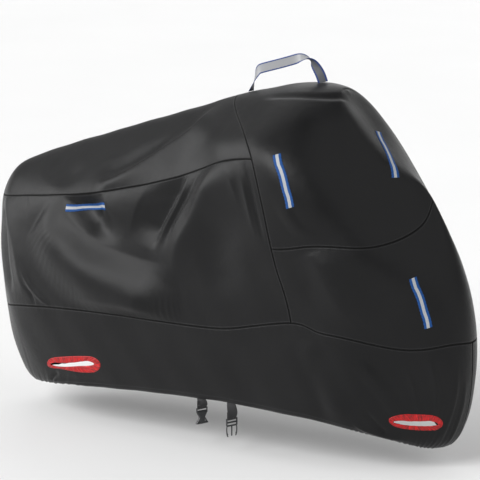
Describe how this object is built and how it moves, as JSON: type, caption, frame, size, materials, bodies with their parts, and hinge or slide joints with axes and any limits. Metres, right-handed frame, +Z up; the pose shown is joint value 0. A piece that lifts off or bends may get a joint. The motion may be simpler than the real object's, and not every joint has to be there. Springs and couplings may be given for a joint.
{
  "type": "motorcycle cover",
  "caption": "Fitted outdoor motorcycle cover of dark coated cloth in its draped shape, with bound lock slots, reflective strips, a carry handle and a belly strap with a side-release buckle.",
  "frame": {"origin": "under the crown, where the inside of the top rests on what it covers, on the middle plane", "axes": "+X to the front, along the length; +Y to the left-hand side, away from the hanging straps; +Z up"},
  "size_m": [2.1301, 0.8036, 1.4363],
  "materials": {
    "cloth": "satin coated woven polyester, near black",
    "binding": "glossy red binding tape, slightly puckered",
    "reflective": "reflective ribbon, light grey in the middle with royal blue edges",
    "handle_webbing": "grey reflective ribbon with royal blue edges",
    "webbing": "black woven webbing",
    "buckle": "moulded dark plastic"
  },
  "bodies": {
    "root": {"rear_top_panel": "cloth", "side_panel_right": "cloth", "side_panel_left": "cloth", "front_upper_panel": "cloth", "front_lower_panel": "cloth", "skirt_right": "cloth", "skirt_left": "cloth", "lock_slot_binding_rear_right": "binding", "lock_slot_binding_front_right": "binding", "lock_slot_binding_rear_left": "binding", "lock_slot_binding_front_left": "binding", "reflective_strip_rear_right": "reflective", "reflective_strip_upper_right": "reflective", "reflective_strip_lower_right": "reflective", "reflective_strip_rear_left": "reflective", "reflective_strip_upper_left": "reflective", "reflective_strip_lower_left": "reflective", "reflective_strip_front": "reflective", "carry_handle": "handle_webbing", "belly_strap_socket": "webbing", "belly_strap_prong": "webbing", "buckle_socket": "buckle", "buckle_prong": "buckle"}
  },
  "joints": []
}
